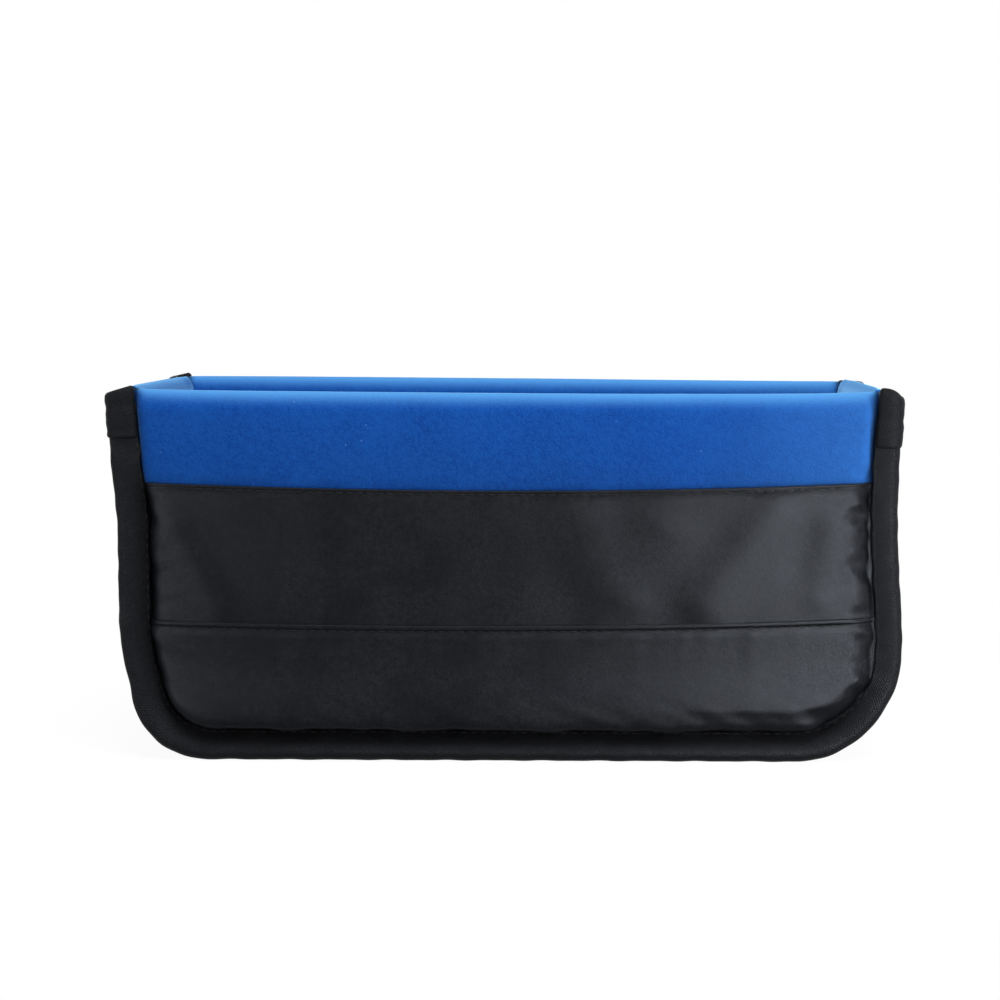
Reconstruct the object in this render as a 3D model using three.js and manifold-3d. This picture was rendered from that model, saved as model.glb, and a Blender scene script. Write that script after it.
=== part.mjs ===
// Padded camera bag insert: an open box of foam walls lined with loop cloth, covered in nylon below the
// rim and bound round its front and back edges with folded tape, with two lift-out padded dividers.
// Millimetres, +Z up, the front faces -Y, and the origin is under the middle of the base.
import * as THREE from 'three';
import Module from 'manifold-3d';

const wasm = await Module();
wasm.setup();

// Overall width and depth over the folded tape ends, which stand a little above the rim
const insertWidth = 290;
const insertDepth = 126;
const rimHeight = 135;
const tapeEndRise = 1;
const cornerRadius = 38;

// Thickness of each material, and the clearance between one layer and the next
const tape = 1.2;
const nylon = 0.5;
const loopCloth = 0.8;
const rimFoam = 5.5;
const stiffener = 1.2;
const hookTape = 0.8;
const gap = 0.3;

// Binding tape: each leg of its fold, the round of the fold and the length of the turned-over ends
const tapeLeg = 11.4;
const tapeRound = 1.8;
const tapeEndLength = 19;

// Seams on the covers, as heights at the ends of a wall and the dip in its middle
const hemHeight = 100.5;
const hemDip = 3.2;
const lapHeight = 51.5;
const lapDip = 2.2;
const rimDip = 1.8;
const seamAllowance = 8;
const hemWidth = 2.6;
const foldRise = 0.5;

// The padding swells the front and back walls by this much, from just inside the tape
const wallCrown = 3.5;
const crownSetback = 0.6;

// Stiffening sheet under the base foam, short of the rounded corners, and the dividers
const stiffenerMargin = 5.5;
const dividerSpacing = 90;
const dividerFoam = 6.4;
const dividerDrop = 16;
const hookWrap = 14;

// Facets: across the flat of a wall, round a lower corner, over a rim and round a small fold
const flatSteps = 6;
const cornerSteps = 10;
const crownSteps = 5;
const endSteps = 3;
const rimSteps = 6;
const foldSteps = 3;

// Outer faces of the tape, where every depth below is measured from
const endReach = tape + gap;
const halfWidth = insertWidth / 2 - endReach;
const halfDepth = insertDepth / 2 - endReach;
const insertHeight = rimHeight + tapeEndRise;
const tapeTop = insertHeight - endReach;
const arcStart = halfWidth - cornerRadius;

// Depths of the layers of a wall: the front has a lapped cover in two pieces, the others a plain one
const coverDepth = tape + gap;
const upperPanelDepth = coverDepth + nylon + gap;
const plainBandDepth = coverDepth + nylon + gap;
const frontBandDepth = upperPanelDepth + nylon + gap;
const liningDepth = frontBandDepth + loopCloth + gap + rimFoam + gap;
const foamInnerDepth = liningDepth - gap;
const wallDepth = liningDepth + loopCloth;

// The strip round the sides and base runs between the front and back walls, its cover up to their covers
const wallInset = coverDepth + nylon + gap;
const stripHalf = halfDepth - wallDepth - gap;
const stripCoverHalf = halfDepth - frontBandDepth - loopCloth - gap;

const blueLoop = { color: 0x1a4fa3, roughness: 0.95, metalness: 0 };
const charcoalNylon = { color: 0x2b2c31, roughness: 0.55, metalness: 0 };
const blackTape = { color: 0x1d1d1f, roughness: 0.8, metalness: 0 };
const greyFoam = { color: 0x55575c, roughness: 0.9, metalness: 0 };
const blackSheet = { color: 0x17181a, roughness: 0.5, metalness: 0 };
const blackHook = { color: 0x141416, roughness: 0.9, metalness: 0 };

function sub(name, geometry, look) {
  const mesh = new THREE.Mesh(geometry, new THREE.MeshStandardMaterial(look));
  mesh.name = name;
  return mesh;
}

function signedVolume(points, faces) {
  const cross = new THREE.Vector3();
  return faces.reduce((sum, [a, b, c]) => sum + points[a].dot(cross.crossVectors(points[b], points[c])) / 6, 0);
}

// Closed solid through rings of points; section gives each ring's outline flat, to fill the two ends.
function loft(rings, section) {
  const count = rings[0].length;
  const points = rings.flat();
  const faces = [];
  for (let i = 0; i < rings.length - 1; i += 1) {
    for (let j = 0; j < count; j += 1) {
      const next = (j + 1) % count;
      const [a, b] = [i * count + j, i * count + next];
      const [c, d] = [a + count, b + count];
      // The diagonal always rises along the loft, so that layers laid on each other share their facets
      const rising = points[b].z >= points[a].z;
      faces.push(...(rising ? [[a, b, d], [a, d, c]] : [[a, b, c], [b, d, c]]));
    }
  }
  const fillEnd = (ring, start, facesBack) => {
    const outline = section(ring);
    const swap = THREE.ShapeUtils.isClockWise(outline) !== facesBack;
    THREE.ShapeUtils.triangulateShape(outline, []).forEach(([a, b, c]) => {
      faces.push((swap ? [a, c, b] : [a, b, c]).map((k) => start + k));
    });
  };
  fillEnd(rings[0], 0, true);
  fillEnd(rings.at(-1), points.length - count, false);
  const outward = signedVolume(points, faces) > 0;
  const geometry = new THREE.BufferGeometry().setFromPoints(points);
  geometry.setIndex(faces.flatMap(([a, b, c]) => (outward ? [a, b, c] : [a, c, b])));
  geometry.computeVertexNormals();
  return geometry;
}

function toManifold(geometry) {
  const place = geometry.getAttribute('position');
  const index = geometry.index?.array ?? Uint32Array.from({ length: place.count }, (_, i) => i);
  const mesh = new wasm.Mesh({
    numProp: 3,
    vertProperties: Float32Array.from(place.array),
    triVerts: Uint32Array.from(index),
  });
  mesh.merge();
  return new wasm.Manifold(mesh);
}

function fromManifold(solid) {
  const mesh = solid.getMesh();
  const geometry = new THREE.BufferGeometry();
  geometry.setAttribute('position', new THREE.BufferAttribute(Float32Array.from(mesh.vertProperties), 3));
  geometry.setIndex(new THREE.BufferAttribute(Uint32Array.from(mesh.triVerts), 1));
  geometry.computeVertexNormals();
  return geometry;
}

// Height of the bound outline above the floor, at a depth inside the tape
function outlineBottom(x, depth) {
  const past = Math.max(Math.abs(x) - arcStart, 0);
  const radius = cornerRadius - depth;
  return cornerRadius - Math.sqrt(Math.max(radius * radius - past * past, 0));
}

// Stations across a wall: shared ones inside the tape, then those on the wall's own round ends
function wallStations(depth) {
  const shared = cornerRadius - tapeLeg - crownSetback;
  const own = cornerRadius - depth;
  const start = Math.asin(shared / own);
  const half = [];
  for (let i = 1; i <= flatSteps / 2; i += 1) half.push((arcStart * 2 * i) / flatSteps);
  for (let i = 1; i <= crownSteps; i += 1) {
    half.push(arcStart + shared * Math.sin((Math.PI / 2) * (i / crownSteps)));
  }
  for (let i = 1; i <= endSteps; i += 1) {
    half.push(arcStart + own * Math.sin(start + (Math.PI / 2 - start) * (i / endSteps)));
  }
  return [...half.map((x) => -x).reverse(), 0, ...half];
}

function dipped(height, dip, x) {
  return height - dip * (1 - (x / halfWidth) ** 2);
}

// Heights of the rows that the layers of a wall share at one station
function wallRows(x, bandDepth, depth) {
  const rollRadius = (wallDepth - bandDepth) / 2;
  const hem = dipped(hemHeight, hemDip, x);
  const lap = dipped(lapHeight, lapDip, x);
  const rimBase = dipped(rimHeight, rimDip, x) - rollRadius;
  const tapeEdge = outlineBottom(x, tapeLeg) + crownSetback;
  const cornerTop = cornerRadius + tape;
  return {
    bottom: outlineBottom(x, depth),
    tapeEdge,
    swell: (tapeEdge + cornerTop) / 2,
    cornerTop,
    lapEnd: lap - seamAllowance,
    lapCrease: lap - hemWidth,
    lapFold: lap - hemWidth + foldRise,
    lap,
    middle: (lap + hem) / 2,
    tuckEnd: hem - seamAllowance,
    hemCrease: hem - hemWidth,
    hemFold: hem - hemWidth + foldRise,
    hem,
    shoulder: (hem + rimBase) / 2,
    rimBase,
    rollRadius,
    rollDepth: (wallDepth + bandDepth) / 2,
  };
}

// How far the padding swells outwards: nothing along the tape and at the rim, most in the middle
function crownAt(x, z, rows) {
  const reach = halfWidth - tapeLeg - crownSetback;
  const across = Math.min(Math.abs(x) / reach, 1);
  const middle = (rows.tapeEdge + rows.rimBase) / 2;
  const up = THREE.MathUtils.clamp((z - middle) / (rows.rimBase - middle), -1, 1);
  return wallCrown * (1 - across ** 4) * (1 - up ** 4);
}

// Ease of a folded edge, which lies flat where the tape covers it
function foldAt(x) {
  const reach = halfWidth - tapeLeg - crownSetback;
  return foldRise * (1 - Math.min(Math.abs(x) / reach, 1) ** 8);
}

const wallSection = (ring) => ring.map((p) => new THREE.Vector2(p.y, p.z));

// A point of a wall at the front: swollen outwards if it belongs to the outer side
const outerPoint = (x, z, depth, rows) => {
  return new THREE.Vector3(x, depth - halfDepth - crownAt(x, z, rows), z);
};
const innerPoint = (x, z, depth) => new THREE.Vector3(x, depth - halfDepth, z);

// Points over the rim from the outer face to the inner one, at a distance inside the cloth's surface
function rimArc(x, rows, inside) {
  const radius = rows.rollRadius - inside;
  return Array.from({ length: rimSteps - 1 }, (_, i) => {
    const turn = Math.PI * ((i + 1) / rimSteps);
    return innerPoint(x, rows.rimBase + radius * Math.sin(turn), rows.rollDepth - radius * Math.cos(turn));
  });
}

// A flat cover panel of nylon between named rows, with a fold standing out along its top edge
function coverPanel(names, depth, bandDepth) {
  const fold = names.slice(-2);
  const rings = wallStations(coverDepth).map((x) => {
    const rows = wallRows(x, bandDepth, coverDepth);
    const face = names.map((name) => {
      return outerPoint(x, rows[name], depth - (fold.includes(name) ? foldAt(x) : 0), rows);
    });
    const back = names.map((name) => outerPoint(x, rows[name], depth + nylon, rows));
    return [...face, ...back.reverse()];
  });
  return loft(rings, wallSection);
}

// Loop cloth of a front or back wall: down its inside, over the rim and down to its tuck under the cover
function wallLining(bandDepth) {
  const band = ['tuckEnd', 'hemCrease', 'hemFold', 'hem', 'shoulder', 'rimBase'];
  const rings = wallStations(wallInset).map((x) => {
    const rows = wallRows(x, bandDepth, wallInset);
    const outer = band.map((name) => outerPoint(x, rows[name], bandDepth, rows));
    const inner = band.map((name) => outerPoint(x, rows[name], bandDepth + loopCloth, rows));
    return [
      ...outer,
      ...rimArc(x, rows, 0),
      innerPoint(x, rows.rimBase, wallDepth),
      innerPoint(x, rows.bottom, wallDepth),
      innerPoint(x, rows.bottom, liningDepth),
      innerPoint(x, rows.rimBase, liningDepth),
      ...rimArc(x, rows, loopCloth).reverse(),
      ...inner.reverse(),
    ];
  });
  return loft(rings, wallSection);
}

// Foam of a wall, with a shoulder under each lap of the covers; runs are [depth, row names] from the base up
function wallFoam(runs, bandDepth) {
  const rings = wallStations(wallInset).map((x) => {
    const rows = wallRows(x, bandDepth, wallInset);
    rows.belowLap = rows.lapEnd - gap;
    rows.belowTuck = rows.tuckEnd - gap;
    const outer = runs.flatMap(([depth, names]) => {
      return names.map((name) => outerPoint(x, rows[name], depth, rows));
    });
    return [
      ...outer,
      ...rimArc(x, rows, loopCloth + gap),
      innerPoint(x, rows.rimBase, foamInnerDepth),
      innerPoint(x, rows.bottom, foamInnerDepth),
    ];
  });
  return loft(rings, wallSection);
}

function frontWall() {
  const lowRows = ['bottom', 'tapeEdge', 'swell', 'cornerTop'];
  const group = new THREE.Group();
  const lower = [...lowRows, 'lapEnd', 'lapCrease', 'lapFold', 'lap'];
  const upper = ['lapEnd', 'lapCrease', 'lapFold', 'lap', 'middle', 'tuckEnd', 'hemCrease', 'hemFold', 'hem'];
  const runs = [
    [coverDepth + nylon + gap, [...lowRows, 'belowLap']],
    [upperPanelDepth + nylon + gap, ['belowLap', 'lapCrease', 'lapFold', 'lap', 'middle', 'belowTuck']],
    [frontBandDepth + loopCloth + gap, ['belowTuck', 'hemCrease', 'hemFold', 'hem', 'shoulder', 'rimBase']],
  ];
  group.add(
    sub('front_lower_panel', coverPanel(lower, coverDepth, frontBandDepth), charcoalNylon),
    sub('front_upper_panel', coverPanel(upper, upperPanelDepth, frontBandDepth), charcoalNylon),
    sub('front_lining', wallLining(frontBandDepth), blueLoop),
    sub('front_foam', wallFoam(runs, frontBandDepth), greyFoam),
  );
  return group;
}

function backWall() {
  const lowRows = ['bottom', 'tapeEdge', 'swell', 'cornerTop', 'lap', 'middle'];
  const runs = [
    [coverDepth + nylon + gap, [...lowRows, 'belowTuck']],
    [plainBandDepth + loopCloth + gap, ['belowTuck', 'hemCrease', 'hemFold', 'hem', 'shoulder', 'rimBase']],
  ];
  const group = new THREE.Group();
  group.rotation.z = Math.PI;
  const cover = [...lowRows, 'tuckEnd', 'hemCrease', 'hemFold', 'hem'];
  group.add(
    sub('back_cover', coverPanel(cover, coverDepth, plainBandDepth), charcoalNylon),
    sub('back_lining', wallLining(plainBandDepth), blueLoop),
    sub('back_foam', wallFoam(runs, plainBandDepth), greyFoam),
  );
  return group;
}

// Extrudes an outline drawn in X and Z over a width centred on the middle of the insert
function acrossDepth(shape, half) {
  const geometry = new THREE.ExtrudeGeometry(shape, {
    depth: 2 * half,
    bevelEnabled: false,
    curveSegments: cornerSteps / 2,
  });
  return geometry.rotateX(Math.PI / 2).translate(0, half, 0);
}

// Round both lower corners at a depth, from the left wall to the right one or back again
function roundCorners(path, depth, toTheRight) {
  const radius = cornerRadius - depth;
  const [left, down, right] = [Math.PI, 1.5 * Math.PI, 2 * Math.PI];
  if (toTheRight) {
    path.absarc(-arcStart, cornerRadius, radius, left, down, false);
    path.absarc(arcStart, cornerRadius, radius, down, right, false);
  } else {
    path.absarc(arcStart, cornerRadius, radius, right, down, true);
    path.absarc(-arcStart, cornerRadius, radius, down, left, true);
  }
}

const sideX = (depth) => halfWidth - depth;

function gussetCover() {
  const shape = new THREE.Shape();
  shape.moveTo(-sideX(coverDepth), hemHeight);
  roundCorners(shape, coverDepth, true);
  shape.lineTo(sideX(coverDepth), hemHeight);
  shape.lineTo(sideX(coverDepth + nylon), hemHeight);
  roundCorners(shape, coverDepth + nylon, false);
  shape.lineTo(-sideX(coverDepth + nylon), hemHeight);
  return acrossDepth(shape, stripCoverHalf);
}

const stripRoll = (wallDepth - plainBandDepth) / 2;
const stripRollX = sideX((wallDepth + plainBandDepth) / 2);
const stripRimBase = rimHeight - stripRoll;
const stripTuckEnd = hemHeight - seamAllowance;

function gussetLining() {
  const inside = plainBandDepth + loopCloth;
  const shape = new THREE.Shape();
  shape.moveTo(-sideX(plainBandDepth), stripTuckEnd);
  shape.absarc(-stripRollX, stripRimBase, stripRoll, Math.PI, 0, true);
  roundCorners(shape, wallDepth, true);
  shape.absarc(stripRollX, stripRimBase, stripRoll, Math.PI, 0, true);
  shape.lineTo(sideX(plainBandDepth), stripTuckEnd);
  shape.lineTo(sideX(inside), stripTuckEnd);
  shape.absarc(stripRollX, stripRimBase, stripRoll - loopCloth, 0, Math.PI, false);
  roundCorners(shape, liningDepth, false);
  shape.absarc(-stripRollX, stripRimBase, stripRoll - loopCloth, 0, Math.PI, false);
  shape.lineTo(-sideX(inside), stripTuckEnd);
  return acrossDepth(shape, stripHalf);
}

const stiffenerHalf = arcStart - stiffenerMargin;
const stripFoamDepth = coverDepth + nylon + gap;
const stripBandFoam = plainBandDepth + loopCloth + gap;

function gussetFoam() {
  const roll = stripRoll - loopCloth - gap;
  const ledge = stripTuckEnd - gap;
  const recess = stiffenerHalf + gap;
  const recessTop = stripFoamDepth + stiffener + gap;
  const shape = new THREE.Shape();
  shape.moveTo(-sideX(stripFoamDepth), ledge);
  shape.absarc(-arcStart, cornerRadius, cornerRadius - stripFoamDepth, Math.PI, 1.5 * Math.PI, false);
  shape.lineTo(-recess, stripFoamDepth);
  shape.lineTo(-recess, recessTop);
  shape.lineTo(recess, recessTop);
  shape.lineTo(recess, stripFoamDepth);
  shape.absarc(arcStart, cornerRadius, cornerRadius - stripFoamDepth, 1.5 * Math.PI, 2 * Math.PI, false);
  shape.lineTo(sideX(stripFoamDepth), ledge);
  shape.lineTo(sideX(stripBandFoam), ledge);
  shape.absarc(stripRollX, stripRimBase, roll, 0, Math.PI, false);
  roundCorners(shape, foamInnerDepth, false);
  shape.absarc(-stripRollX, stripRimBase, roll, 0, Math.PI, false);
  shape.lineTo(-sideX(stripBandFoam), ledge);
  return acrossDepth(shape, stripHalf);
}

function baseStiffener() {
  const sheet = new THREE.BoxGeometry(2 * stiffenerHalf, 2 * stripHalf, stiffener);
  return sheet.translate(0, 0, stripFoamDepth + stiffener / 2);
}

// Corner of a folded tape in plan: legs along +X and +Y from a rounded fold, between two depths
function tapeCorner(outer, inner) {
  const round = tapeRound - outer;
  const shape = new THREE.Shape();
  shape.moveTo(tapeLeg, outer);
  shape.absarc(tapeRound, tapeRound, round, 1.5 * Math.PI, Math.PI, true);
  shape.lineTo(outer, tapeLeg);
  shape.lineTo(inner, tapeLeg);
  shape.lineTo(inner, inner);
  shape.lineTo(tapeLeg, inner);
  return shape;
}

// Tape run down one side of the front, along its base and up the other side, half on each face
function binding() {
  const section = tapeCorner(0, tape).extractPoints(foldSteps).shape;
  const stops = [{ turn: Math.PI, x: -arcStart, z: tapeTop }];
  for (let i = 0; i <= cornerSteps; i += 1) {
    stops.push({ turn: Math.PI * (1 + (0.5 * i) / cornerSteps), x: -arcStart, z: cornerRadius });
  }
  for (let i = 0; i <= cornerSteps; i += 1) {
    stops.push({ turn: Math.PI * (1.5 + (0.5 * i) / cornerSteps), x: arcStart, z: cornerRadius });
  }
  stops.push({ turn: 2 * Math.PI, x: arcStart, z: tapeTop });
  const rings = stops.map(({ turn, x, z }) => {
    return section.map((p) => {
      const radius = cornerRadius - p.x;
      return new THREE.Vector3(x + radius * Math.cos(turn), p.y - halfDepth, z + radius * Math.sin(turn));
    });
  });
  return loft(rings, (ring) => ring.map((p) => new THREE.Vector2(p.x, p.y)));
}

// Turned-over end of the tape: a second thickness over both legs, closed over the cut top
function tapeEnd() {
  const upright = (shape, depth) => {
    return new THREE.ExtrudeGeometry(shape, { depth, bevelEnabled: false, curveSegments: foldSteps });
  };
  const legs = upright(tapeCorner(-endReach, -gap), tapeEndLength);
  const top = upright(tapeCorner(-endReach, tape), tape).translate(0, 0, tapeEndLength - tape);
  return fromManifold(toManifold(legs).add(toManifold(top)));
}

function tapeEnds() {
  const group = new THREE.Group();
  const names = ['front_left', 'front_right', 'back_right', 'back_left'];
  const corners = [[-1, -1], [1, -1], [1, 1], [-1, 1]];
  corners.forEach(([acrossX, acrossY], i) => {
    const end = sub(`${names[i]}_tape_end`, tapeEnd(), blackTape);
    end.position.set(acrossX * halfWidth, acrossY * halfDepth, insertHeight - tapeEndLength);
    end.rotation.z = (i * Math.PI) / 2;
    group.add(end);
  });
  return group;
}

// A divider stands on the base lining between the front and back walls and lifts straight out
const dividerBase = wallDepth + gap;
const dividerTop = rimHeight - rimDip - dividerDrop;
const dividerReach = halfDepth - wallDepth - gap;
const dividerPadHalf = dividerReach - hookTape - gap;
const dividerHalf = dividerFoam / 2 + gap + loopCloth;

// Upright round-topped outline of a half thickness, open below when it is to be filled by another
function roundTop(path, half, fromLeft) {
  const base = dividerTop - dividerHalf;
  const [start, end] = fromLeft ? [Math.PI, 0] : [0, Math.PI];
  path.absarc(0, base, half, start, end, fromLeft);
}

function dividerPad() {
  const half = dividerFoam / 2;
  const shape = new THREE.Shape();
  shape.moveTo(-half, dividerBase);
  roundTop(shape, half, true);
  shape.lineTo(half, dividerBase);
  return acrossDepth(shape, dividerPadHalf);
}

function dividerCover() {
  const inner = dividerFoam / 2 + gap;
  const shape = new THREE.Shape();
  shape.moveTo(-dividerHalf, dividerBase);
  roundTop(shape, dividerHalf, true);
  shape.lineTo(dividerHalf, dividerBase);
  shape.lineTo(inner, dividerBase);
  roundTop(shape, inner, false);
  shape.lineTo(-inner, dividerBase);
  return acrossDepth(shape, dividerPadHalf);
}

// Hook tape folded round one end of a divider, against the wall's loop cloth
function dividerHook() {
  const inner = dividerHalf + gap;
  const outer = inner + hookTape;
  const start = dividerReach - hookTape;
  const shape = new THREE.Shape();
  shape.moveTo(outer, dividerReach - hookWrap);
  shape.lineTo(outer, start);
  shape.absarc(inner, start, hookTape, 0, Math.PI / 2, false);
  shape.absarc(-inner, start, hookTape, Math.PI / 2, Math.PI, false);
  shape.lineTo(-outer, dividerReach - hookWrap);
  shape.lineTo(-inner, dividerReach - hookWrap);
  shape.lineTo(-inner, start);
  shape.lineTo(inner, start);
  shape.lineTo(inner, dividerReach - hookWrap);
  const height = dividerTop - dividerHalf - dividerBase;
  const settings = { depth: height, bevelEnabled: false, curveSegments: foldSteps };
  return new THREE.ExtrudeGeometry(shape, settings).translate(0, 0, dividerBase);
}

function divider(name) {
  const group = new THREE.Group();
  const front = sub(`${name}_front_hook`, dividerHook(), blackHook);
  front.rotation.z = Math.PI;
  group.add(
    sub(`${name}_foam`, dividerPad(), greyFoam),
    sub(`${name}_cover`, dividerCover(), blueLoop),
    front,
    sub(`${name}_back_hook`, dividerHook(), blackHook),
  );
  return group;
}

const insert = new THREE.Group();
insert.name = 'camera_bag_insert';
const leftDivider = divider('left_divider');
const rightDivider = divider('right_divider');
leftDivider.position.x = -dividerSpacing / 2;
rightDivider.position.x = dividerSpacing / 2;
const backBinding = sub('back_binding', binding(), blackTape);
backBinding.rotation.z = Math.PI;
insert.add(
  frontWall(),
  backWall(),
  sub('gusset_cover', gussetCover(), charcoalNylon),
  sub('gusset_lining', gussetLining(), blueLoop),
  sub('gusset_foam', gussetFoam(), greyFoam),
  sub('base_stiffener', baseStiffener(), blackSheet),
  sub('front_binding', binding(), blackTape),
  backBinding,
  tapeEnds(),
  leftDivider,
  rightDivider,
);

export default insert;
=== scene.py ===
"""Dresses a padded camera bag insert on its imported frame: loop-cloth linings over foam, nylon covers,
bound edges with turned-over ends, stitching and two lift-out dividers. Lengths are in metres."""

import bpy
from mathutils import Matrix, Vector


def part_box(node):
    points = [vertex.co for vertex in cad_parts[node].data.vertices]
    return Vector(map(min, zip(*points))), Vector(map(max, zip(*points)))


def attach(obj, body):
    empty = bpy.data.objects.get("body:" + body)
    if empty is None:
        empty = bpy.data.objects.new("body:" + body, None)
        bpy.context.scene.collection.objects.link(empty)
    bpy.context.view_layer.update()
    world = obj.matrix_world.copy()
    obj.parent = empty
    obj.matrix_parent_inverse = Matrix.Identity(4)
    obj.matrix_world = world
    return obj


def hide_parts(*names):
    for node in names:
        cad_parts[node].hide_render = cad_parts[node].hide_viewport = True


bl_info = {
    "name": "Camera bag insert",
    "version": (1, 0, 0),
    "blender": (4, 5, 0),
    "location": "View3D > Sidebar > Insert",
    "description": "Makes the cloth, tape, padding and dividers of an open camera bag insert",
    "category": "Object",
}

import math

import bpy
import numpy as np
from bpy.props import FloatProperty, FloatVectorProperty, PointerProperty
from mathutils import Vector

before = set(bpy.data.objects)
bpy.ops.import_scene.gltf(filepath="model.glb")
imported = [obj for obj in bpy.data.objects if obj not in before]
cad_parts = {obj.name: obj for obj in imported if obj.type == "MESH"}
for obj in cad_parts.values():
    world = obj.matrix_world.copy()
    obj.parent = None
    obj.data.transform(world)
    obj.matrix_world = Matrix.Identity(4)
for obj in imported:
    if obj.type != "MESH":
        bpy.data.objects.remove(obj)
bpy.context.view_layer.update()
MM = 0.001

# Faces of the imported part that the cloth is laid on
TAPE_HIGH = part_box("front_binding")[1]
HALF_WIDTH = TAPE_HIGH.x
HALF_DEPTH = -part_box("front_binding")[0].y
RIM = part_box("gusset_lining")[1].z
WALL = HALF_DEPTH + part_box("front_lining")[1].y
TAPE_END_LOW, TAPE_END_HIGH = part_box("front_right_tape_end")

# Flat sizes of the sheets as cut
WALL_LINING_HEIGHT = 0.178
STRIP_LINING_FLAT = (0.101, 0.58)
STRIP_COVER_FLAT = (0.117, 0.443)


def length(name, size, description):
    """A length, given in millimetres."""
    return FloatProperty(name=name, description=description, default=size * MM, unit="LENGTH", precision=5)


def colour(name, shade, description):
    return FloatVectorProperty(
        name=name, description=description, default=shade, subtype="COLOR", min=0, max=1
    )


class InsertSizes(bpy.types.PropertyGroup):
    """Sizes of the cloth, tape and padding"""

    corner_radius: length("Corner radius", 38, "Outer radius of the bound lower corners")
    tape_leg: length("Tape leg", 10.6, "Width of the tape on each face")
    tape_draw: length("Tape draw", 1.6, "How much narrower the tape is drawn at the rim")
    tape_bias: length("Tape bias", 1.0, "How much wider the tape laps at the left than at the right")
    end_slant: length("End slant", 2.6, "How much lower a tape end is at its outer corner")
    end_half: length("End half thickness", 1.7, "Half the thickness of a turned-over tape end")
    tape: length("Tape", 1.0, "Thickness of the binding tape")
    tape_fold: length("Tape fold", 3.2, "Radius of the tape's fold over the edge")
    valley: length("Valley", 6.0, "How far the tape's sewn edge sinks into the padding")
    right_valley: length("Right valley", 1.8, "The same beside the right-hand tape")
    rim_valley: length("Rim valley", 1.6, "The same at the rim, where the tape ends")
    side_valley: length("Side valley", 2.0, "The same on the side walls")
    nylon: length("Nylon", 0.45, "Thickness of the cover cloth")
    cloth: length("Loop cloth", 0.8, "Thickness of the lining cloth")
    cover_depth: length("Cover depth", 1.1, "Depth of the lowest cover below the tape's sewn edge")
    cover_tuck: length("Cover tuck", 4.5, "From the outer edge of the tape to the covers' cut edges")
    lap_step: length("Lap step", 0.55, "Depth from one lapped layer to the next")
    hem_height: length("Hem height", 101.4, "Top edge of the cover at the ends of a wall")
    hem_dip: length("Hem dip", 2.9, "How far the hem hangs lower in the middle")
    hem_lean: length("Hem lean", 1.1, "How much higher the hem's right-hand end is")
    hem_fold: length("Hem fold", 1.0, "From the hem's folded edge to its stitches")
    hem_rise: length("Hem rise", 0.08, "How far the hem's folded edge stands out")
    lap_height: length("Lap height", 52.2, "Lapped seam of the front cover at its ends")
    lap_dip: length("Lap dip", 2.5, "How far the lapped seam hangs lower in the middle")
    lap_lean: length("Lap lean", 2.2, "How much higher the lapped seam's right-hand end is")
    lap_fold: length("Lap fold", 1.7, "From the lapped seam's folded edge to its stitches")
    lap_rise: length("Lap rise", 0.35, "How far the lapped seam's folded edge stands out")
    rim_dip: length("Rim dip", 1.3, "How far the front rim hangs below its ends")
    rim_lean: length("Rim lean", 0.9, "How far the back rim falls towards its right-hand end")
    rim_lift: length("Rim lift", 1.1, "How much taller the stuffed walls stand than their solids")
    left_lift: length("Left lift", 1.1, "How much taller still they stand at the left")
    rim_round: length("Rim round", 8.5, "Height of the rounded part of a rim")
    rim_tuck: length("Rim tuck", 3.8, "How much lower a rim is drawn in under the tape")
    tuck: length("Tuck", 8, "Seam allowance hidden under a lap")
    wall_crown: length("Wall crown", 2.4, "Broad swell of the front and back walls")
    side_crown: length("Side crown", 1.2, "Swell of the side walls")
    # Painted shade: how far from the tape the darker nap colour reaches
    painted_shade_width: length("Painted shade width", 1.5, "How far from the tape the painted shade reaches")
    band_swell: length("Band swell", 1.8, "How far the band swells out above the hem")
    overhang: length("Overhang", 0.9, "How far the padding stands out beyond the tape beside it")
    foot_hang: length("Foot hang", 5.4, "How much further it stands out along the foot of a wall")
    edge_fall: length("Edge fall", 1.0, "How far a cover falls away near the tape")
    puff_reach: length("Puff reach", 1.5, "Distance over which the padding rises beside the tape")
    right_slope: length("Right slope", 8.0, "Width of the cover's slope beside the right-hand tape")
    lip: length("Lip", 1.9, "Sideways swell that carries a cover's edge over the tape")
    pucker: length("Pucker", 1.6, "How far the covers' sunk edges wander beside the tape")
    stitch: length("Stitch", 2.7, "Length of a stitch")
    stitch_gap: length("Stitch gap", 1.0, "Space between two stitches")
    thread: length("Thread", 0.27, "Radius of the sewing thread")
    divider_puff: length("Divider puff", 0.8, "Swell of a divider's faces")


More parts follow.
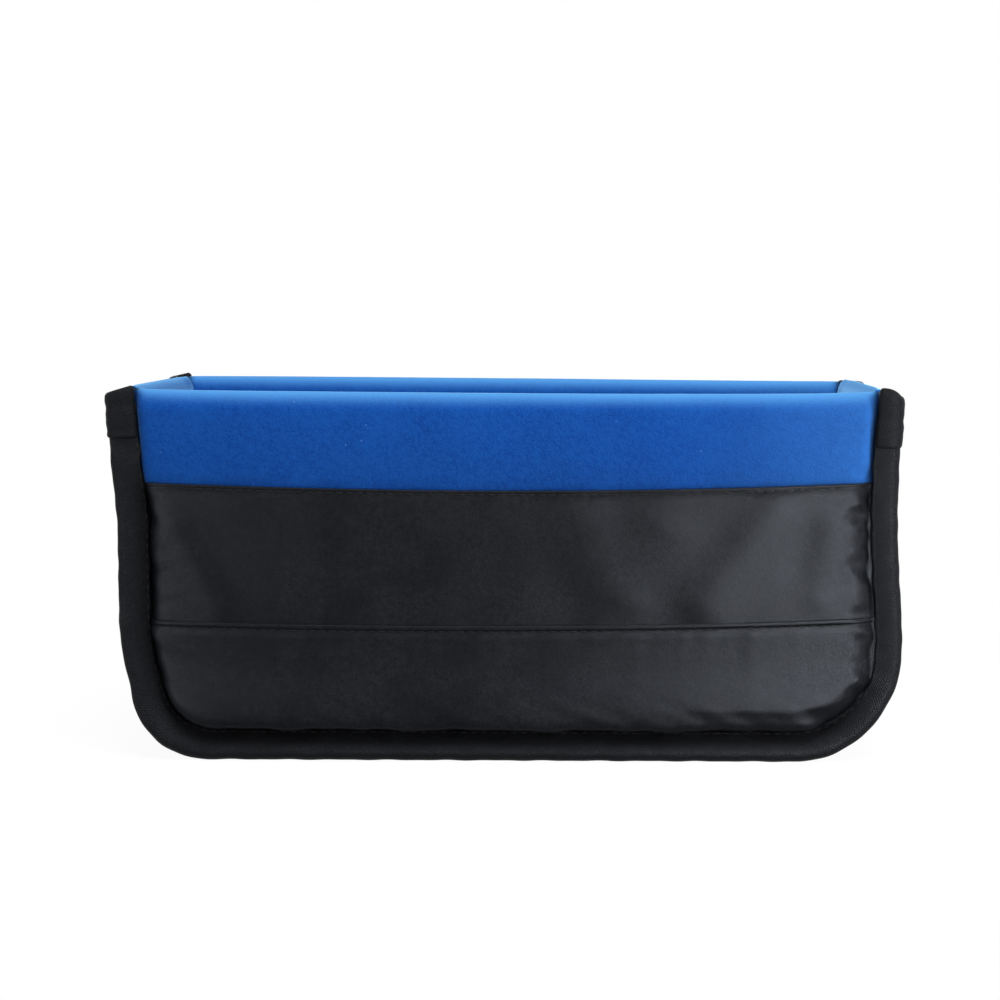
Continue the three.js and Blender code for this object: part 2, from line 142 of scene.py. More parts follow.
class InsertColours(bpy.types.PropertyGroup):
    """Colours of the materials"""

    blue: colour("Blue", (0.0042, 0.056, 0.300), "Loop cloth")
    blue_light: colour("Blue light", (0.0080, 0.085, 0.37), "Raised fibres of the loop cloth")
    blue_deep: colour("Blue deep", (0.0028, 0.039, 0.22), "Roots of the loop cloth")
    # Painted shade: dark navy that stands in for the shade in the crease beside the tape
    blue_painted_shade: colour("Blue painted shade", (0.0006, 0.0030, 0.016), "Painted shade of the nap beside the tape")
    # Painted highlight: pale blue for the rim's upward faces, also used as painted sheen towards the
    # right-hand end
    blue_painted_highlight: colour("Blue painted highlight", (0.082, 0.295, 0.63), "Painted highlight and sheen on the loop cloth")
    lint: colour("Lint", (0.12, 0.28, 0.60), "Specks of lint on the loop cloth")
    nylon: colour("Nylon", (0.0010, 0.0013, 0.0022), "Cover cloth")
    nylon_worn: colour("Nylon worn", (0.0094, 0.0100, 0.0122), "Rubbed places of the cover cloth")
    tape: colour("Tape", (0.0026, 0.0027, 0.0035), "Binding tape")
    tape_worn: colour("Tape worn", (0.0095, 0.0095, 0.0108), "Raised ribs of the binding tape")
    thread: colour("Thread", (0.0050, 0.0053, 0.0064), "Sewing thread")
    foam: colour("Foam", (0.10, 0.105, 0.115), "Closed-cell foam")
    sheet: colour("Stiffener", (0.010, 0.010, 0.011), "Stiffening sheet")
    hook: colour("Hook tape", (0.008, 0.008, 0.009), "Hook tape of the dividers")
    floor: colour("Floor", (0.92, 0.92, 0.92), "Studio floor")
    floor_bounce: colour("Floor bounce", (0.45, 0.45, 0.45), "Light that the floor gives back")


def sizes():
    return bpy.context.scene.insert_sizes


def colours():
    return bpy.context.scene.insert_colours


# Shape helpers


def smooth(t):
    t = np.clip(t, 0, 1)
    return t * t * (3 - 2 * t)


def ramp(value, start, reach):
    """Eased share from 0 to 1 over a reach from a start, both in millimetres."""
    return smooth((value - start * MM) / (reach * MM))


def fade(value, reach):
    """Share that falls away from 1 over a reach in millimetres."""
    return np.exp(-value / (reach * MM))


def hump(value, middle, half):
    """Share that is 1 at a middle and falls away on both sides, in millimetres."""
    return np.exp(-(((value - middle * MM) / (half * MM)) ** 2))


def ripple(p, *waves):
    """Sum of sine waves over p, each given as its height, wavelength in millimetres and phase."""
    return sum(height * np.sin(2 * np.pi * p / (wave * MM) + phase) for height, wave, phase in waves)


def joined(*parts):
    """Coordinates side by side in a last axis, spread to one shape."""
    return np.stack(np.broadcast_arrays(*parts), axis=-1)


def chain(*paths):
    """Paths of points, end to end."""
    return np.concatenate(paths, axis=-2)


def mirrored(path):
    """A path of (x, height) on the other side, run backwards."""
    return (path * [-1, 1])[..., ::-1, :]


def turned(points):
    """The same wall at the back: half a turn about the upright axis."""
    return points * np.array([-1, -1, 1])


def unit(vectors):
    return vectors / np.linalg.norm(vectors, axis=-1, keepdims=True)


def right_of(path):
    """Unit vectors to the right of a path of flat points."""
    ahead = unit(np.gradient(path, axis=-2))
    return joined(ahead[..., 1], -ahead[..., 0])


def backed(path, thickness):
    """A path and its back face, offset to the right of its direction, as one closed ring per station."""
    return chain(path, (path + right_of(path) * thickness)[:, ::-1])


def run_of(line):
    """Distance along a line of points."""
    return np.concatenate([[0], np.cumsum(np.linalg.norm(np.diff(line, axis=0), axis=1))])


def points_at(at, run, line):
    """Points of a line at distances along it."""
    return joined(*(np.interp(at, run, part) for part in line.T))


def crowded(count):
    """Shares from -1 to 1, closer together towards both ends."""
    share = np.linspace(-1, 1, count)
    return 0.6 * share + 0.4 * np.sin(share * np.pi / 2)


def rolled(start, end, base, rise, count):
    """The round between two faces and over their top, without its ends, as (depth, height)."""
    turn = np.linspace(0, np.pi, count)[1:-1]
    half = (end - start) / 2
    return joined(start + half - half * np.cos(turn), base + rise * np.sin(turn))


def across_width(ring, x):
    """Rings of (depth, height) at stations across the front, as points."""
    return joined(x[:, None], ring[..., 0] - HALF_DEPTH, ring[..., 1])


def across_depth(ring, y):
    """Rings of (x, height) at places from front to back, as points."""
    return joined(ring[..., 0], y, ring[..., 1])


def settle(points):
    """The lean of the soft box as it stands: each side's sag by height, fading to the middle."""
    s = sizes()
    x, y, z = points.T
    left = 2.3 * (1 - ramp(z, 82, 34)) + 2.6 * hump(z, 29, 12) - 5.6 * fade(z, 13)
    right = 1.7 * hump(z, 44, 22) - 0.5 * hump(z, 90, 16) + 0.9 * fade(z, 12)
    lean = left * ramp(-x, 0, 120) + right * ramp(x, 0, 120)
    lift = s.rim_lift + s.left_lift * ramp(-x, -60, 200)
    return np.column_stack([x + lean * MM, y, z * (1 + lift / RIM)])


def new_piece(name, points, faces, uvs, look, body, flat_ends=0):
    """A piece of cloth or thread that rides on a body, smooth but for its last faces."""
    mesh = bpy.data.meshes.new(name)
    mesh.from_pydata(points.tolist(), [], faces)
    mesh.uv_layers.new(name="cloth").data.foreach_set("uv", np.asarray(uvs, np.float32).ravel())
    mesh.polygons.foreach_set("use_smooth", np.arange(len(faces)) < len(faces) - flat_ends)
    mesh.materials.append(bpy.data.materials[look])
    mesh.validate()
    mesh.update()
    piece = bpy.data.objects.new(name, mesh)
    bpy.context.collection.objects.link(piece)
    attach(piece, body)
    return piece


def tube_faces(stations, count):
    """Quads between rings of points, with the stations and the places round a ring that they start from."""
    i, j = np.meshgrid(np.arange(stations - 1), np.arange(count), indexing="ij")
    here, after = i * count + j, i * count + (j + 1) % count
    return joined(here, after, after + count, here + count).reshape(-1, 4), i, j


def enclosed_volume(points, quads):
    a, b, c, d = (points[quads[:, i]] for i in range(4))
    volume = (a * np.cross(b, c)).sum() + (a * np.cross(c, d)).sum()
    return volume / 6


def swept(node, suffix, rings, look, body="shell"):
    """A closed skin through rings of points in place of a solid, turned if it is on the back wall.

    Its run and its girth are its cloth coordinates, and the shell's pieces lean with the soft box."""
    rings = turned(rings) if node.startswith("back") else rings
    stations, count = rings.shape[:2]
    points = rings.reshape(-1, 3)
    middle = rings[stations // 2]
    girth = run_of(chain(middle, middle[:1]))
    run = run_of(rings[:, 0])
    quads, i, j = tube_faces(stations, count)
    u = joined(run[i], run[i], run[i + 1], run[i + 1]).reshape(-1, 4)
    v = joined(girth[j], girth[j + 1], girth[j + 1], girth[j]).reshape(-1, 4)
    ends = [np.arange(count)[::-1], np.arange(count) + (stations - 1) * count]
    if enclosed_volume(points, quads) < 0:
        quads, u, v = quads[:, ::-1], u[:, ::-1], v[:, ::-1]
        ends = [end[::-1] for end in ends]
    uvs = np.concatenate([joined(u, v).reshape(-1, 2), np.zeros((2 * count, 2))])
    faces = quads.tolist() + [end.tolist() for end in ends]
    points = settle(points) if body == "shell" else points
    piece = new_piece(f"{node}_{suffix}", points, faces, uvs, look, body, flat_ends=2)
    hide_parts(node)
    return piece


def sheet(node, suffix, rings, look, flat):
    """A sewn sheet, stretched over the foam of its wall."""
    piece = swept(node, suffix, rings, look)
    return piece


def padded(node, suffix, rings, look, body="shell"):
    """A stuffed piece."""
    piece = swept(node, suffix, rings, look, body)


# The insert's outline and seam lines


def foot_line(x):
    """Height of the covers' lower edges, hidden in the tape."""
    s = sizes()
    past = np.clip(np.abs(x) - (HALF_WIDTH - s.corner_radius), 0, None)
    radius = s.corner_radius - s.cover_tuck
    return s.corner_radius - np.sqrt(np.clip(radius**2 - past**2, 0, None))


def tape_reach(x, z):
    """Width of the tape on a front or back wall, drawn in towards the rim and to the right."""
    s = sizes()
    start = TAPE_END_LOW.z - 8 * MM
    drawn = s.tape_draw * smooth((z - start) / (TAPE_END_HIGH.z - start))
    biased = s.tape_bias * np.clip(x / HALF_WIDTH, -0.6, 1) * smooth(z / s.corner_radius)
    return s.tape_leg - drawn - biased


def inside_tape(x, z):
    """Distance from the tape's inner edge into a front or back wall."""
    s = sizes()
    start = HALF_WIDTH - s.corner_radius
    out = np.abs(x)
    straight = np.minimum(HALF_WIDTH - out, z)
    round_corner = s.corner_radius - np.hypot(out - start, z - s.corner_radius)
    inward = np.where((out > start) & (z < s.corner_radius), round_corner, straight)
    return inward - tape_reach(x, z)


def seam_line(x, height, dip, lean):
    """A seam that hangs in the middle and climbs a little to the right-hand end of its wall."""
    across = x / HALF_WIDTH
    return height - dip * (1 - across**2) + lean * across / 2


def hem_line(x):
    s = sizes()
    return seam_line(x, s.hem_height, s.hem_dip, s.hem_lean)


def lap_line(x):
    s = sizes()
    return seam_line(x, s.lap_height, s.lap_dip, s.lap_lean)


def under_lap(x):
    """The upper cover's lower edge, hidden under the lap."""
    return lap_line(x) - sizes().tuck


def drawn_in(out, half):
    """How much lower a rim is drawn in under the tape at its ends, by place across a wall."""
    s = sizes()
    edge = half - s.tape_leg + s.tape_draw + s.tape_bias
    return s.rim_tuck * ramp(np.abs(out) - edge, 0, 3)


def rim_line(x, front):
    """The rim is flat but for its ends on the front wall and leans to one end on the back wall."""
    s = sizes()
    across = x / HALF_WIDTH
    fall = s.rim_dip * (1 - across**8) if front else s.rim_lean * smooth(-across)
    return RIM - fall - drawn_in(x, HALF_WIDTH)


def at_right(x, z):
    """Share of the slack that gathers above the right-hand corner of a wall."""
    return ramp(x, 40, 80) * ramp(z, 0, 30)


def valley(x, z):
    """Depth of the tape's sewn edge on a front or back wall, less at the rim and at the right."""
    s = sizes()
    sunk = s.valley + (s.right_valley - s.valley) * at_right(x, z)
    share = ramp(z - s.hem_height, -9, 16)
    return sunk + (s.rim_valley - sunk) * share


def free_of_tape(x, z):
    """Distance from where a cover rises beside the tape, which wanders more in some places than in others."""
    s = sizes()
    waves = ripple(0.8 * x + 1.2 * z, (0.50, 37, 0.4), (0.35, 19, 1.9), (0.25, 11, 0.7))
    covered = 1 - ramp(z - s.hem_height, -8, 6)
    slack = 0.30 + 0.15 * ramp(z, 0, 46) + 0.25 * at_right(x, z)
    sunk = s.pucker * slack * np.clip(1.0 + waves, 0, None) * covered
    return np.clip(inside_tape(x, z) - sunk, 0, None)


def beside_tape(x, z):
    """Share that fades from the tape's inner edge into a wall."""
    return fade(np.clip(inside_tape(x, z), 0, None), 6)


def cover_rise(x, z, away):
    """Share of the padding's full height beside the tape: short at the foot, a long slope at the right."""
    s = sizes()
    uneven = 1 + ripple(z, (0.16, 17.3, 0.4), (0.12, 9.1, 1.9))
    short = s.puff_reach * (0.5 + 0.5 * ramp(z, 0, 34))
    slope = 1 - np.clip(away / (s.right_slope * uneven), 0, 1)
    steep = 1 - np.exp(-away / short)
    under_hem = 1 - ramp(z - hem_line(x), 2, 6)
    return steep + (1 - slope**1.6 - steep) * at_right(x, z) * under_hem


def face_depth(x, z, layer):
    """Depth of a cover over the padding, a number of cloth layers above the lowest one."""
    s = sizes()
    away = free_of_tape(x, z)
    hang = s.overhang + s.foot_hang * (1 - ramp(z, 0, 44))
    puff = (valley(x, z) + hang) * cover_rise(x, z, away)
    fall = s.edge_fall * (1 - at_right(x, z))
    puff = puff - fall * fade(away, 5) * (1 - fade(away, 1))
    across = np.clip(np.abs(x) / (HALF_WIDTH - s.tape_leg), 0, 1)
    middle = (s.tape_leg + RIM) / 2
    up = np.clip((z - middle) / (RIM - middle), -1, 1)
    broad = s.wall_crown * (1 - across**4) * (1 - up**4)
    return valley(x, z) + s.cover_depth + layer * s.lap_step - puff - broad


def lipped(points):
    """Points of a front wall, carried sideways so that its swollen edge hangs over the tape."""
    s = sizes()
    x, y, z = (points[..., k] for k in range(3))
    away = free_of_tape(x, z)
    swell = s.lip * (1 - np.exp(-away / s.puff_reach)) * fade(away, 6)
    outside = 1 - ramp(y + HALF_DEPTH, 5, 3)
    swell = swell * (1 - 0.8 * at_right(x, z)) * outside
    aside = np.clip(np.abs(x) - HALF_WIDTH + s.corner_radius, 0, None)
    down = np.clip(s.corner_radius - z, 0, None)
    far = np.hypot(aside, down) + 1e-9
    return joined(x + swell * np.sign(x) * aside / far, y, z - swell * down / far)


# Soft folds of the front cover: start and end across and up the wall, half width and height
UPPER_FOLDS = (
    ((-127, 88), (-103, 50), 6.5, 0.8),
    ((104, 98), (68, 52), 9.0, 1.1),
    ((60, 90), (44, 56), 12.0, 0.5),
    ((-62, 88), (-80, 54), 13.0, 0.4),
    ((120, 90), (112, 56), 6.0, 0.6),
)


def soft_folds(x, z, folds):
    """Height of long soft folds, each fading at its two ends."""
    height = np.zeros(np.broadcast(x, z).shape)
    for (x0, z0), (x1, z1), half, rise in folds:
        along = np.array([x1 - x0, z1 - z0]) * MM
        reach = np.hypot(*along)
        dx, dz = x - x0 * MM, z - z0 * MM
        share = (dx * along[0] + dz * along[1]) / reach**2
        off = (dx * along[1] - dz * along[0]) / reach
        lasting = smooth((share + 0.15) / 0.3) * (1 - smooth((share - 0.85) / 0.3))
        height += rise * MM * lasting * hump(off, 0, half)
    return height


def lower_detail(x, z):
    """Puckers under the lapped seam and beside the tape at the foot of the front cover."""
    below = lap_line(x) - z
    under_seam = fade(below, 9) * ramp(below - sizes().lap_fold, 0, 2)
    puckers = ripple(x, (0.10, 14.3, 0.4), (0.06, 8.1, 1.9), (0.10, 23.7, 2.7)) * MM
    puckers = puckers * (0.25 + 0.75 * hump(x, 76, 34))
    edge = ripple(z + 0.4 * x, (0.14, 9.7, 0.2), (0.10, 6.3, 2.2)) * MM
    return puckers * under_seam + edge * beside_tape(x, z)


def upper_detail(x, z):
    """Long folds, small puckers beside the tape and a gentle unevenness of the upper cover."""
    edge = ripple(z - 0.3 * x, (0.16, 10.9, 0.7), (0.12, 6.1, 1.1)) * MM
    uneven = ripple(x + 0.35 * z, (0.12, 47, 0.3), (0.10, 31, 2.0)) * MM
    return soft_folds(x, z, UPPER_FOLDS) + edge * beside_tape(x, z) + uneven


def back_detail(x, z):
    """The same on the back cover, with less slack."""
    return upper_detail(x, z) * 0.6


def sewn_edges():
    """Each cover's folded top edge: its line, cloth layer, fold and rise, and the cover's unevenness."""
    s = sizes()
    return {
        "front_hem": (hem_line, 1, s.hem_fold, s.hem_rise, upper_detail),
        "front_lap": (lap_line, 0, s.lap_fold, s.lap_rise, lower_detail),
        "back_hem": (hem_line, 0, s.hem_fold, s.hem_rise, back_detail),
    }


def folded_edge(below, width, rise):
    """Outward rise of a folded and topstitched edge, by distance below it."""
    ridge = rise * (1 - ramp(below - width, -0.8, 0.7))
    groove = 0.16 * MM * hump(below - width, 0, 0.5)
    puffed = 0.25 * MM * ramp(below - width, 0, 3) * (1 - ramp(below, 8, 12))
    return ridge - groove + puffed


def sewn_depth(x, z, high, layer, fold, rise, detail):
    """Depth of a cover with its folded top edge and its unevenness, plain where it is under the tape."""
    relief = folded_edge(high(x) - z, fold, rise) + detail(x, z)
    return face_depth(x, z, layer) - relief * ramp(inside_tape(x, z), 0, 2.5)


# Nodes and materials


def feed(tree, socket, value):
    """Links a socket to another node's output, or sets it to a number or a colour."""
    if isinstance(value, bpy.types.NodeSocket):
        tree.links.new(value, socket)
    else:
        socket.default_value = (*value, 1) if hasattr(value, "__len__") else value


def add_node(tree, kind, settings=None, **values):
    node = tree.nodes.new(kind)
    for name, value in (settings or {}).items():
        setattr(node, name, value)
    for name, value in values.items():
        feed(tree, node.inputs[name.replace("_", " ")], value)
    return node


def math_node(tree, operation, *values):
    node = add_node(tree, "ShaderNodeMath", {"operation": operation})
    for socket, value in zip(node.inputs, values):
        feed(tree, socket, value)
    return node.outputs[0]


def times(tree, first, second):
    return math_node(tree, "MULTIPLY", first, second)


def mixed_colour(tree, amount, first, second):
    node = add_node(tree, "ShaderNodeMix", {"data_type": "RGBA"})
    for socket, value in zip((node.inputs[0], node.inputs[6], node.inputs[7]), (amount, first, second)):
        feed(tree, socket, value)
    return node.outputs[2]


def eased(tree, value, low, high, to_low=0.0, to_high=1.0):
    ends = {"From_Min": low, "From_Max": high, "To_Min": to_low, "To_Max": to_high}
    settings = {"interpolation_type": "SMOOTHSTEP"}
    return add_node(tree, "ShaderNodeMapRange", settings, Value=value, **ends).outputs[0]


def component(tree, vector, axis):
    return add_node(tree, "ShaderNodeSeparateXYZ", Vector=vector).outputs[axis]


def noise(tree, vector, scale, detail=2.0, rough=0.5):
    values = {"Vector": vector, "Scale": scale, "Detail": detail, "Roughness": rough}
    return add_node(tree, "ShaderNodeTexNoise", **values).outputs["Fac"]


def new_group(name, inputs, outputs):
    """An empty shader node group with float and vector sockets."""
    group = bpy.data.node_groups.new(name, "ShaderNodeTree")
    for socket in inputs:
        kind = "NodeSocketVector" if socket == "Vector" else "NodeSocketFloat"
        group.interface.new_socket(socket, in_out="INPUT", socket_type=kind)
    for socket in outputs:
        group.interface.new_socket(socket, in_out="OUTPUT", socket_type="NodeSocketFloat")
    return group, group.nodes.new("NodeGroupInput").outputs, group.nodes.new("NodeGroupOutput").inputs


def placed_group(tree, name, vector, **values):
    settings = {"node_tree": bpy.data.node_groups[name]}
    return add_node(tree, "ShaderNodeGroup", settings, Vector=vector, **values).outputs


def make_nap_group():
    """Brushed fibre ends: Height for bump, Shade for colour and sparse Lint."""
    group, into, out = new_group("Fibre nap", ("Vector", "Fineness"), ("Height", "Shade", "Lint"))
    vector, fine = into["Vector"], into["Fineness"]
    tufts = noise(group, vector, times(group, fine, 0.35), 3.0, 0.6)
    fibres = noise(group, vector, fine, 2.0, 0.65)
    both = math_node(group, "ADD", times(group, tufts, 0.45), times(group, fibres, 0.55))
    cells = add_node(group, "ShaderNodeTexVoronoi", Vector=vector, Scale=times(group, fine, 0.22))
    rare = eased(group, noise(group, vector, times(group, fine, 0.05)), 0.56, 0.66)
    near = eased(group, cells.outputs["Distance"], 0.05, 0.1, 1.0, 0.0)
    feed(group, out["Height"], both)
    feed(group, out["Shade"], eased(group, both, 0.32, 0.68))
    feed(group, out["Lint"], times(group, near, rare))


def make_weave_group():
    """Warp and weft threads from cloth coordinates, with a pitch for each direction."""
    group, into, out = new_group("Woven threads", ("Vector", "Run pitch", "Girth pitch"), ("Height",))

    def thread(axis, pitch):
        turns = math_node(group, "DIVIDE", component(group, into["Vector"], axis), into[pitch])
        return math_node(group, "SINE", times(group, turns, 2 * math.pi))

    woven = times(group, thread("X", "Run pitch"), thread("Y", "Girth pitch"))
    feed(group, out["Height"], math_node(group, "MULTIPLY_ADD", woven, 0.5, 0.5))


def make_mottle_group():
    """Slow unevenness of handled cloth, from 0 to 1."""
    group, into, out = new_group("Handled cloth", ("Vector", "Fineness"), ("Value",))
    value = noise(group, into["Vector"], into["Fineness"], 3.0, 0.55)
    feed(group, out["Value"], eased(group, value, 0.3, 0.7))


def new_material(name, **shader):
    """A new material's tree and its shader's inputs, with the object's and the cloth's coordinates."""
    material = bpy.data.materials.new(name)
    material.use_nodes = True
    tree = material.node_tree
    surface = tree.nodes["Principled BSDF"].inputs
    for socket, value in shader.items():
        feed(tree, surface[socket.replace("_", " ")], value)
    place = tree.nodes.new("ShaderNodeTexCoord").outputs["Object"]
    cloth = add_node(tree, "ShaderNodeUVMap", {"uv_map": "cloth"}).outputs["UV"]
    return tree, surface, place, cloth


def bump(tree, surface, height, strength, distance):
    node = add_node(tree, "ShaderNodeBump", Strength=strength, Distance=distance, Height=height)
    feed(tree, surface["Normal"], node.outputs["Normal"])


def loop_cloth(c):
    """Brushed nap, with a painted highlight on the rim's upward faces, painted sheen towards the right-hand
    end and painted shade beside the tape.
    """
    matt = {"Roughness": 0.95, "Specular_IOR_Level": 0.05}
    sheen = {"Sheen_Roughness": 0.3, "Sheen_Tint": (0.28, 0.64, 1.0)}
    tree, surface, place, _ = new_material("blue_loop_cloth", **matt, **sheen)
    nap = placed_group(tree, "Fibre nap", place, Fineness=1300)
    mottle = placed_group(tree, "Handled cloth", place, Fineness=70)["Value"]
    body = mixed_colour(tree, nap["Shade"], c.blue_deep, c.blue_light)
    even = mixed_colour(tree, 0.4, body, c.blue)
    soft = mixed_colour(tree, times(tree, mottle, 0.25), even, c.blue_light)
    linty = mixed_colour(tree, times(tree, nap["Lint"], 0.6), soft, c.lint)
    # Painted highlight: paler blue on faces that look upward near the rim
    facing = component(tree, tree.nodes.new("ShaderNodeNewGeometry").outputs["Normal"], "Z")
    upward = eased(tree, facing, 0.20, 1.05, 0.0, 0.85)
    at_rim = eased(tree, component(tree, place, "Z"), RIM - 18 * MM, RIM - 6 * MM)
    rim_highlit = mixed_colour(tree, times(tree, upward, at_rim), linty, c.blue_painted_highlight)
    # Painted sheen: paler blue towards the right-hand side of the insert
    aside = eased(tree, component(tree, place, "X"), 50 * MM, 165 * MM, 0.0, 0.2)
    right_sheen_painted = mixed_colour(tree, aside, rim_highlit, c.blue_painted_highlight)
    # Painted shade: a per-point share of dark navy beside the tape, which also takes away the sheen
    painted_shade = add_node(tree, "ShaderNodeAttribute", {"attribute_name": "painted_shade"}).outputs["Fac"]
    feed(tree, surface["Base Color"], mixed_colour(tree, painted_shade, right_sheen_painted, c.blue_painted_shade))
    feed(tree, surface["Sheen Weight"], math_node(tree, "SUBTRACT", 1.0, painted_shade))
    bump(tree, surface, nap["Height"], 0.55, 0.5 * MM)


def woven_material(name, gloss, pitches, handling, wear, roughness, relief):
    """Woven cloth, worn on its ribs or in handled places, with fibres standing out of its threads."""
    bluish = (0.84, 0.90, 1.0)
    tree, surface, place, cloth = new_material(name, Specular_IOR_Level=gloss, Specular_Tint=bluish)
    run, girth = pitches
    dark, light, on_ribs = wear
    fibres, strength, depth = relief
    weave = placed_group(tree, "Woven threads", cloth, Run_pitch=run, Girth_pitch=girth)["Height"]
    mottle = placed_group(tree, "Handled cloth", place, Fineness=handling)["Value"]
    grain = placed_group(tree, "Fibre nap", place, Fineness=1500)
    rubbed = weave if on_ribs else eased(tree, mottle, 0, 1, 0.5, 1.0)
    worn = times(tree, rubbed, grain["Shade"])
    feed(tree, surface["Base Color"], mixed_colour(tree, worn, dark, light))
    feed(tree, surface["Roughness"], eased(tree, mottle, 0, 1, *roughness))
    height = math_node(tree, "MULTIPLY_ADD", grain["Height"], fibres, weave)
    bump(tree, surface, height, strength, depth)


def napped_material(name, dark, lighter, fineness, roughness, depth, gloss=0.25):
    """A plain fibrous or cellular finish in one colour."""
    tree, surface, place, _ = new_material(name, Roughness=roughness, Specular_IOR_Level=gloss)
    nap = placed_group(tree, "Fibre nap", place, Fineness=fineness)
    light = tuple(min(1.0, v * lighter) for v in dark)
    feed(tree, surface["Base Color"], mixed_colour(tree, nap["Shade"], dark, light))
    bump(tree, surface, nap["Height"], 0.6, depth)


def make_materials(c):
    make_nap_group()
    make_weave_group()
    make_mottle_group()
    loop_cloth(c)
    fine, ribbed = (0.42 * MM, 0.42 * MM), (0.9 * MM, 1.6 * MM)
    nylon, tape = (c.nylon, c.nylon_worn, False), (c.tape, c.tape_worn, True)
    smooth_relief, rough_relief = (3.5, 0.65, 0.04 * MM), (2.5, 0.75, 0.18 * MM)
    woven_material("woven_nylon", 0.075, fine, 55, nylon, (0.36, 0.43), smooth_relief)
    woven_material("black_binding_tape", 0.072, ribbed, 90, tape, (0.48, 0.60), rough_relief)
    napped_material("grey_foam", c.foam, 1.5, 1600, 0.9, 0.25 * MM)
    napped_material("black_sheet", c.sheet, 1.8, 500, 0.5, 0.05 * MM)
    napped_material("black_hook_tape", c.hook, 3.0, 2200, 0.85, 0.5 * MM)
    napped_material("black_thread", c.thread, 1.6, 4000, 0.8, 0.1 * MM, gloss=0.14)


# Walls of the box

LINING_STATIONS = 180
COVER_STATIONS = 250
FOAM_STATIONS = 60
RIM_STEPS = 25

# Share of the painted shade colour right at the tape's inner edge
PAINTED_SHADE_SHARE = 0.9


def wall_stations(count):
    """Stations across a wall, closer together round its lower corners."""
    return (HALF_WIDTH - sizes().cover_tuck) * crowded(count)


def wall_lining_path(x, lapped):
    """From the tuck under the cover up the band, over the rim and down the inside, as (depth, height)."""
    s = sizes()
    x = x[:, None]
    hem, rim = hem_line(x), rim_line(x, lapped)
    base = rim - s.rim_round
    z = hem - s.tuck + np.linspace(0, 1, 46) * (base - hem + s.tuck)
    above = z - hem
    flat = 1 - np.clip(above / (30 * MM), 0, 1)
    swell = s.band_swell * (1 - flat**2) - 0.5 * MM * fade(np.clip(above, 0, None), 2.5)
    swell = swell * ramp(inside_tape(x, z), 0, 4)
    uneven = ripple(x + 0.2 * z, (0.10, 61, 1.0), (0.08, 37, 0.1)) * MM
    band = joined(face_depth(x, z, 2 if lapped else 1) - swell - uneven, z)
    roll = rolled(band[:, -1:, 0], WALL, base, rim - base, RIM_STEPS)
    inside = joined(WALL, base + np.linspace(0, 1, 40) * (foot_line(x) - base))
    return chain(band, roll, inside)


def cover_path(x, low, high, *sewn):
    """A cover panel from its lower edge to a folded top edge, as (depth, height)."""
    x = x[:, None]
    share = np.linspace(0, 1, 74)
    share = 0.4 * share + 0.3 * (1 - np.cos(np.pi * share))
    z = low(x) + share * (high(x) - low(x))
    out = sewn_depth(x, z, high, *sewn)
    turn = np.linspace(0, np.pi / 2, 4)[1:]
    edge = sizes().nylon
    lip = joined(out[:, -1:] + edge * (1 - np.cos(turn)), z[:, -1:] + edge * np.sin(turn))
    return chain(joined(out, z), lip)


def corner_path(depth, top, straight=44, arc=26, base=70):
    """Down the left wall, round both lower corners and up the right wall, as (x, height)."""
    s = sizes()
    start, radius = HALF_WIDTH - s.corner_radius, s.corner_radius - depth
    turn = np.linspace(np.pi, 1.5 * np.pi, arc)
    left = joined(depth - HALF_WIDTH, np.linspace(top, s.corner_radius, straight))
    round_left = joined(radius * np.cos(turn) - start, s.corner_radius + radius * np.sin(turn))
    floor = joined(np.linspace(-start, 0, base), depth)
    half = chain(left[:-1], round_left, floor[1:])
    return chain(half, mirrored(half[:-1]))


def side_free(y):
    """Distance from the tape's inner edge into a side wall."""
    return np.clip(HALF_DEPTH - sizes().tape_leg - np.abs(y), 0, None)


def side_puff(y):
    """How far the padding of a side wall swells out between its bound edges."""
    s = sizes()
    return (s.side_valley + s.side_crown) * (1 - fade(side_free(y), 5))


def lining_strip(s):
    """The lining of the sides and base, its bands tucked under the tape and its inner edges seamed."""
    rim_base = RIM - s.rim_round
    rise = np.linspace(s.hem_height - s.tuck, rim_base, 26)
    turn = np.linspace(0, 1, RIM_STEPS)[1:-1]
    inside = corner_path(WALL, rim_base)
    bound, seamed = HALF_DEPTH - s.cover_tuck, HALF_DEPTH - WALL + 0.05 * MM
    hidden = 1.005
    share = np.concatenate([[-hidden], crowded(60), [hidden]])[:, None]
    at_band = share * np.full(len(rise), bound)
    at_roll = share * (bound + (seamed - bound) * smooth(turn / 0.3))
    at_inside = share * np.full(len(inside), seamed)
    depth = s.side_valley + s.cover_depth + s.lap_step - side_puff(at_band)
    band = joined(depth - HALF_WIDTH, rise)
    top = s.rim_round - drawn_in(at_roll, HALF_DEPTH)
    roll = rolled(depth[:, -1:], WALL, rim_base, top, RIM_STEPS)
    left = chain(band, roll - [HALF_WIDTH, 0])
    middle = np.broadcast_to(inside, (len(share), *inside.shape))
    path = chain(left, middle, mirrored(left))
    y = np.concatenate([at_band, at_roll, at_inside, at_roll[:, ::-1], at_band[:, ::-1]], axis=1)
    rings = across_depth(backed(path, s.cloth), np.concatenate([y, y[:, ::-1]], axis=1))
    sheet("gusset_lining", "cloth", rings, "blue_loop_cloth", STRIP_LINING_FLAT)


